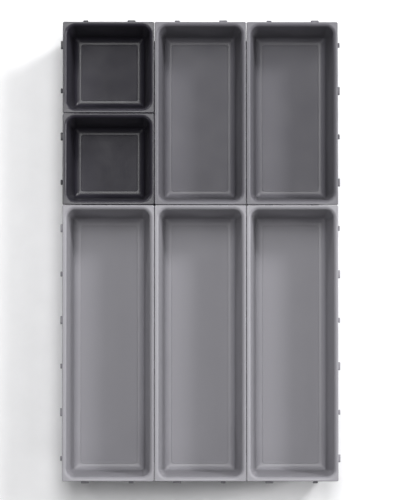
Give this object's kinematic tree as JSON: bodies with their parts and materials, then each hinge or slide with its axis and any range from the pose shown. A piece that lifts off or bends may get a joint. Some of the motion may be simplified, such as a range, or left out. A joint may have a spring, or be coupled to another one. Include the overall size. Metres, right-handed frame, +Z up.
{
  "type": "drawer organizer insert",
  "caption": "Low open organizer of small, medium and large tapered bins on one square module, joined under their rims by pegs and sockets.",
  "frame": {"origin": "under the middle of the layout, on the surface that the feet stand on", "axes": "+X to the right, +Y to the rear, where the small and medium bins are, +Z up"},
  "size_m": [0.2318, 0.3842, 0.0508],
  "materials": {
    "charcoal_plastic": "charcoal moulded plastic, fine satin texture",
    "mid_grey_plastic": "mid grey moulded plastic, fine satin texture",
    "light_grey_plastic": "light grey moulded plastic, fine satin texture",
    "charcoal_liner": "charcoal soft-grip liner, matt",
    "mid_grey_liner": "mid grey soft-grip liner, matt",
    "light_grey_liner": "light grey soft-grip liner, matt",
    "foot_rubber": "black rubber, matt"
  },
  "bodies": {
    "middle_large_bin": {"middle_large_bin_tray": "light_grey_plastic", "middle_large_bin_liner": "light_grey_liner", "middle_large_bin_foot_1": "foot_rubber", "middle_large_bin_foot_2": "foot_rubber", "middle_large_bin_foot_3": "foot_rubber", "middle_large_bin_foot_4": "foot_rubber"},
    "left_large_bin": {"left_large_bin_tray": "light_grey_plastic", "left_large_bin_liner": "light_grey_liner", "left_large_bin_foot_1": "foot_rubber", "left_large_bin_foot_2": "foot_rubber", "left_large_bin_foot_3": "foot_rubber", "left_large_bin_foot_4": "foot_rubber"},
    "right_large_bin": {"right_large_bin_tray": "light_grey_plastic", "right_large_bin_liner": "light_grey_liner", "right_large_bin_foot_1": "foot_rubber", "right_large_bin_foot_2": "foot_rubber", "right_large_bin_foot_3": "foot_rubber", "right_large_bin_foot_4": "foot_rubber"},
    "middle_medium_bin": {"middle_medium_bin_tray": "mid_grey_plastic", "middle_medium_bin_liner": "mid_grey_liner", "middle_medium_bin_foot_1": "foot_rubber", "middle_medium_bin_foot_2": "foot_rubber", "middle_medium_bin_foot_3": "foot_rubber", "middle_medium_bin_foot_4": "foot_rubber"},
    "right_medium_bin": {"right_medium_bin_tray": "mid_grey_plastic", "right_medium_bin_liner": "mid_grey_liner", "right_medium_bin_foot_1": "foot_rubber", "right_medium_bin_foot_2": "foot_rubber", "right_medium_bin_foot_3": "foot_rubber", "right_medium_bin_foot_4": "foot_rubber"},
    "small_bins": {"front_small_bin_tray": "charcoal_plastic", "front_small_bin_liner": "charcoal_liner", "front_small_bin_foot_1": "foot_rubber", "front_small_bin_foot_2": "foot_rubber", "front_small_bin_foot_3": "foot_rubber", "front_small_bin_foot_4": "foot_rubber", "rear_small_bin_tray": "charcoal_plastic", "rear_small_bin_liner": "charcoal_liner", "rear_small_bin_foot_1": "foot_rubber", "rear_small_bin_foot_2": "foot_rubber", "rear_small_bin_foot_3": "foot_rubber", "rear_small_bin_foot_4": "foot_rubber"}
  },
  "joints": [
    {"name": "left_large_bin_slide", "type": "slide", "parent": "middle_large_bin", "child": "left_large_bin", "axis": [-1, 0, 0], "range_m": [0, 0.03]},
    {"name": "right_large_bin_slide", "type": "slide", "parent": "middle_large_bin", "child": "right_large_bin", "axis": [1, 0, 0], "range_m": [0, 0.03]},
    {"name": "rear_row_slide", "type": "slide", "parent": "middle_large_bin", "child": "middle_medium_bin", "axis": [0, 1, 0], "range_m": [0, 0.03]},
    {"name": "small_bins_slide", "type": "slide", "parent": "middle_medium_bin", "child": "small_bins", "axis": [-1, 0, 0], "range_m": [0, 0.03]},
    {"name": "right_medium_bin_slide", "type": "slide", "parent": "middle_medium_bin", "child": "right_medium_bin", "axis": [1, 0, 0], "range_m": [0, 0.03]}
  ],
  "couplings": [
    {"joint": "small_bins_slide", "follows": "left_large_bin_slide", "ratio": 1},
    {"joint": "right_medium_bin_slide", "follows": "right_large_bin_slide", "ratio": 1}
  ]
}
